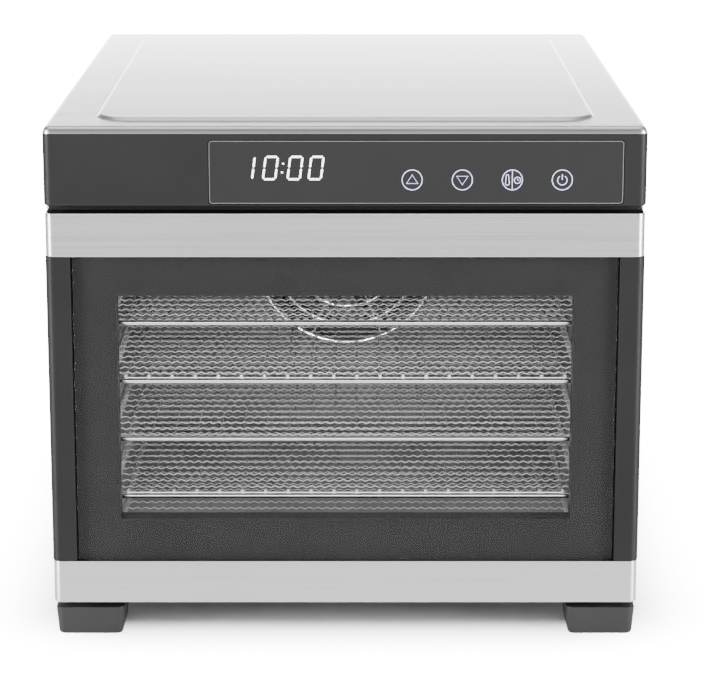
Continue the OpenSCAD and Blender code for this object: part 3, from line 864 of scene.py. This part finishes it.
DRESS = {
    "sheet": ["base_pan", "rear_panel", "motor_plate", "door_catch_plates", "hinge_brackets",
              "heater_clips"],
    "liner": ["liner_roof", "liner_floor", "fan_baffle"],
    # the side walls and runners take the liner's sheet painted lighter, to lift their shade
    "wall": ["liner_left", "liner_right", "tray_runners_left", "tray_runners_right"],
    "fixing": ["motor_screws", "foot_screws", "rear_screws", "hinge_pins", "fan_shaft", "fan_nut",
               "temperature_probe", "catch_magnets"],
    "aluminium": ["fan_blade"],
    "motor": ["fan_motor", "rear_grille"],
    "heater": ["heating_element"],
    "black": ["front_frame", "door_carrier", "door_back_panel", "cord_gland", "cord_gland_nut",
              "thermal_cutout", "power_board_parts"],
    "board": ["display_board", "power_board"],
    "white": ["led_display", "board_standoffs", "door_hinge_bushes"],
    "brass": ["touch_springs"],
}
SOFT_EDGE = {"rear_grille": 0.5, "door_back_panel": 0.4, "door_carrier": 0.4, "front_frame": 0.4,
             "cord_gland": 0.6, "hinge_brackets": 0.3, "tray_runners_left": 0.3, "tray_runners_right": 0.3,
             "rear_screws": 0.4, "fan_nut": 0.3, "rear_panel": 0.15, "base_pan": 0.15, "fan_baffle": 0.15}


# ---------------------------------------------------------------- studio

FLOOR_HALF = 6.0                             # metres
# distances in metres outside the box below: the floor clears between the first two, and its painted shadow
# under the object gives way to pale by the third
CLEAR_FROM, CLEAR_TO, PAINTED_SHADE_TO = 0.027, 0.112, 0.06


def floor_material():
    """Matt floor with a painted shadow under the object, then pale, then clear so that the white world
    shows.
    """
    g = Graph("studio_floor")
    diffuse = g.add("ShaderNodeBsdfDiffuse")
    pale = g.blend_colour(g.spread(g.noise(60.0, 2.0), 0, 1), (0.9, 0.9, 0.9), (0.93, 0.93, 0.93))
    clear = g.add("ShaderNodeBsdfTransparent")
    # distance outside a box that lies 45 to 50 mm within the footprint
    reach = g.add("ShaderNodeVectorMath", operation="ABSOLUTE")
    g.link(g.coords.outputs["Object"], reach.inputs[0])
    less = g.add("ShaderNodeVectorMath", operation="SUBTRACT")
    less.inputs[1].default_value = ((HALF - 45) * MM, (REAR - 50) * MM, 1.0)
    g.link(reach.outputs[0], less.inputs[0])
    outside = g.add("ShaderNodeVectorMath", operation="MAXIMUM")
    outside.inputs[1].default_value = (0, 0, 0)
    g.link(less.outputs[0], outside.inputs[0])
    length = g.add("ShaderNodeVectorMath", operation="LENGTH")
    g.link(outside.outputs[0], length.inputs[0])

    def rise(start, end):
        node = g.add("ShaderNodeMapRange", interpolation_type="SMOOTHSTEP")
        node.inputs["From Min"].default_value = start
        node.inputs["From Max"].default_value = end
        g.link(length.outputs["Value"], node.inputs["Value"])
        return node.outputs["Result"]

    # painted shadow: the floor's colour is dark grey inside the box and rises to pale outside it
    darker = g.add("ShaderNodeMix", data_type="RGBA")
    darker.inputs[6].default_value = (0.35, 0.35, 0.35, 1)
    g.link(rise(0.0, PAINTED_SHADE_TO), darker.inputs[0])
    g.link(pale, darker.inputs[7])
    g.link(darker.outputs[2], diffuse.inputs["Color"])
    mix = g.add("ShaderNodeMixShader")
    below = g.add("ShaderNodeNewGeometry").outputs["Backfacing"]     # from below the floor is clear
    g.link(g.maths("MAXIMUM", rise(CLEAR_FROM, CLEAR_TO), below), mix.inputs[0])
    g.link(diffuse.outputs[0], mix.inputs[1])
    g.link(clear.outputs[0], mix.inputs[2])
    return g.finish(mix.outputs[0])


def add_floor():
    mesh = bpy.data.meshes.new("studio_floor")
    corners = [(x * FLOOR_HALF, y * FLOOR_HALF, 0) for x, y in ((-1, -1), (1, -1), (1, 1), (-1, 1))]
    mesh.from_pydata(corners, [], [(0, 1, 2, 3)])
    mesh.materials.append(floor_material())
    floor = bpy.data.objects.new("studio_floor", mesh)
    bpy.context.scene.collection.objects.link(floor)
    floor.location.z = -0.0002               # just clear of the feet


def set_world():
    """White to the camera; to the object, brighter from below and darker from overhead."""
    world = bpy.data.worlds.new("studio")
    bpy.context.scene.world = world
    world.use_nodes = True
    tree = world.node_tree
    tree.nodes.clear()
    seen = tree.nodes.new("ShaderNodeBackground")
    seen.inputs["Color"].default_value = (1, 1, 1, 1)
    seen.inputs["Strength"].default_value = 18.0
    lit = tree.nodes.new("ShaderNodeBackground")
    lit.inputs["Color"].default_value = (1, 1, 1, 1)
    sky = tree.nodes.new("ShaderNodeTexCoord")
    split = tree.nodes.new("ShaderNodeSeparateXYZ")
    tree.links.new(sky.outputs["Generated"], split.inputs[0])

    def slope(*limits):
        """A strength that changes between two heights that a ray points at: heights, then strengths."""
        node = tree.nodes.new("ShaderNodeMapRange")
        for socket, value in zip(("From Min", "From Max", "To Min", "To Max"), limits):
            node.inputs[socket].default_value = value
        tree.links.new(split.outputs["Z"], node.inputs["Value"])
        return node.outputs["Result"]

    product = tree.nodes.new("ShaderNodeMath")
    product.operation = "MULTIPLY"
    tree.links.new(slope(-0.4, -0.18, 2.4, 0.42), product.inputs[0])
    tree.links.new(slope(0.0, 0.9, 1.0, 0.3), product.inputs[1])
    tree.links.new(product.outputs[0], lit.inputs["Strength"])
    path = tree.nodes.new("ShaderNodeLightPath")
    mix = tree.nodes.new("ShaderNodeMixShader")
    out = tree.nodes.new("ShaderNodeOutputWorld")
    tree.links.new(path.outputs["Is Camera Ray"], mix.inputs[0])
    tree.links.new(lit.outputs[0], mix.inputs[1])
    tree.links.new(seen.outputs[0], mix.inputs[2])
    tree.links.new(mix.outputs[0], out.inputs[0])


def put_light(name, data, place, aim):
    obj = bpy.data.objects.new(name, data)
    bpy.context.scene.collection.objects.link(obj)
    obj.location = place
    obj.rotation_euler = (Vector(aim) - Vector(place)).to_track_quat("-Z", "Y").to_euler()
    return obj


def area_light(name, place, aim, width, height, power):
    data = bpy.data.lights.new(name, "AREA")
    data.shape, data.size, data.size_y = "RECTANGLE", width, height
    data.energy = power
    return put_light(name, data, place, aim)


def receivers(name, obj):
    """A collection of one object, for a light's list of what it lights."""
    group = bpy.data.collections.new(name)
    group.objects.link(obj)
    return group


def add_lights(cover, guard):
    key = area_light("key_front", (0.0, -2.6, 1.0), (0, -0.2, 0.12), 2.4, 1.2, 42)
    # the cover's bend would mirror this light as a hard line, so the cover is left out of it
    unlit = receivers("unlit_by_key", cover)
    unlit.collection_objects[0].light_linking.link_state = "EXCLUDE"
    key.light_linking.receiver_collection = unlit
    area_light("top_soft", (0.0, 0.2, 1.9), (0, 0, 0.2), 1.8, 1.6, 12)
    back = area_light("back_low", (0.0, 0.72, 0.365), (0, 0.2, 0.3), 2.2, 0.13, 13)
    back.visible_camera = False
    area_light("strip_left", (-1.3, -0.85, 0.35), (-0.16, -0.2, 0.15), 0.4, 1.4, 42)
    area_light("strip_right", (1.3, -0.85, 0.35), (0.16, -0.2, 0.15), 0.4, 1.4, 42)
    # a narrow light that only picks out the polished guard behind the trays
    spot = bpy.data.lights.new("glint", "SPOT")
    spot.energy = 1500
    spot.spot_size = math.radians(5.0)
    spot.spot_blend = 0.3
    spot.shadow_soft_size = 0.12
    glint = put_light("glint", spot, (0.08, -2.4, 0.6), (0.0, 0.115, 0.115))
    glint.light_linking.receiver_collection = receivers("lit_by_glint", guard)


def add_camera():
    data = bpy.data.cameras.new("camera")
    camera = bpy.data.objects.new("camera", data)
    bpy.context.scene.collection.objects.link(camera)
    bpy.context.scene.camera = camera
    data.sensor_width = 36
    data.lens = 138.8
    data.clip_start, data.clip_end = 0.05, 50
    camera.location = (0.0057, -1.765, 0.542)
    camera.rotation_euler = (math.radians(90 - 13.28), 0, 0)


# ---------------------------------------------------------------- the scene

cover_piece = build("cover_shell", cover_shape(), MAT["cover"], "cabinet", ["outer_cover"],
                    sharp=50)
add_housing()
build("display_figures", figures_shape(), MAT["digits"], "cabinet")
build("key_icons", icons_shape(), MAT["icons"], "cabinet")
add_door()
add_trays()
guard_piece = build("guard_hoops", guard_shape(), MAT["guard"], "cabinet", ["fan_guard"],
                    weld=False)
build("air_louvres", louvres_shape(), MAT["liner"], "cabinet", sharp=50)
for foot in ("foot_front_left", "foot_front_right", "foot_rear_left", "foot_rear_right"):
    build(foot + "_pad", foot_shape(foot), MAT["foot"], "cabinet", [foot], sharp=40)
for finish, names in DRESS.items():
    for node in names:
        dress(node, MAT[finish], SOFT_EDGE.get(node, 0.0))
add_floor()
set_world()
add_lights(cover_piece, guard_piece)
add_camera()
